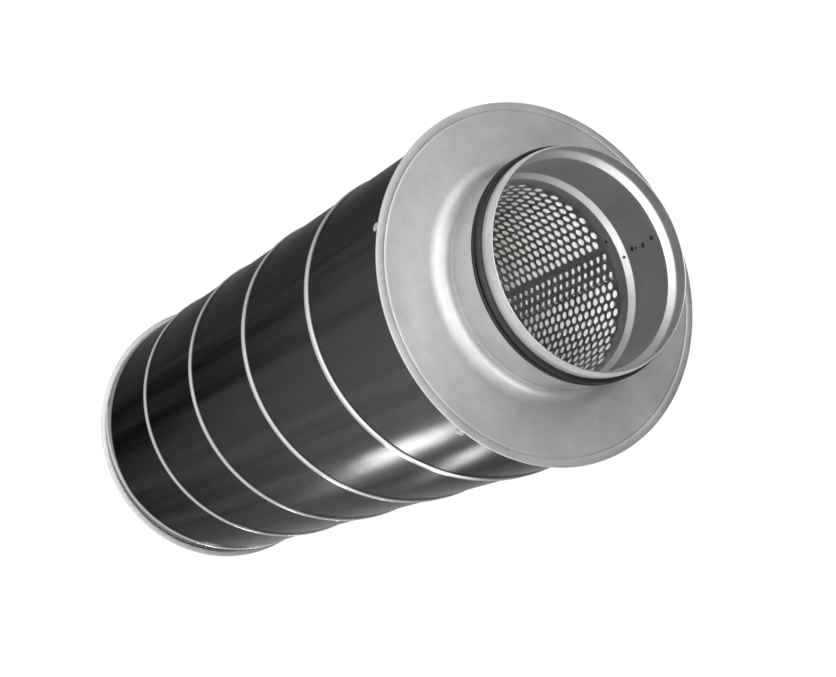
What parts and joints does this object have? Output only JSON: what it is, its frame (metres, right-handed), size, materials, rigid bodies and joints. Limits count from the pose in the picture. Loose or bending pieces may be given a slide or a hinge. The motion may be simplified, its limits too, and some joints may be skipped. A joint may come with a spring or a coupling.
{
  "type": "duct sound attenuator",
  "caption": "Round duct sound attenuator: spiral-seam galvanised casing, flat end caps with drawn necks, sealed spigots and a perforated inner tube wrapped in mineral wool.",
  "frame": {"origin": "centre of the lower mouth's rim, on the plane it stands on", "axes": "+Z along the air passage to the upper mouth, -Y towards the side the picture shows, X across"},
  "size_m": [0.262, 0.262, 0.716],
  "materials": {
    "casing_sheet": "smooth rolled zinc, glossy",
    "galvanised_sheet": "satin zinc",
    "perforated_sheet": "satin zinc",
    "seal_rubber": "matt",
    "fleece": "matt felt",
    "wool": "matt fibre",
    "rivet_metal": "satin"
  },
  "bodies": {
    "root": {"outer_casing": "casing_sheet", "upper_end_cap": "galvanised_sheet", "lower_end_cap": "galvanised_sheet", "upper_spigot": "galvanised_sheet", "lower_spigot": "galvanised_sheet", "upper_seal": "seal_rubber", "lower_seal": "seal_rubber", "perforated_tube": "perforated_sheet", "fleece_wrap": "fleece", "mineral_wool": "wool", "cap_rivets": "rivet_metal"}
  },
  "joints": []
}
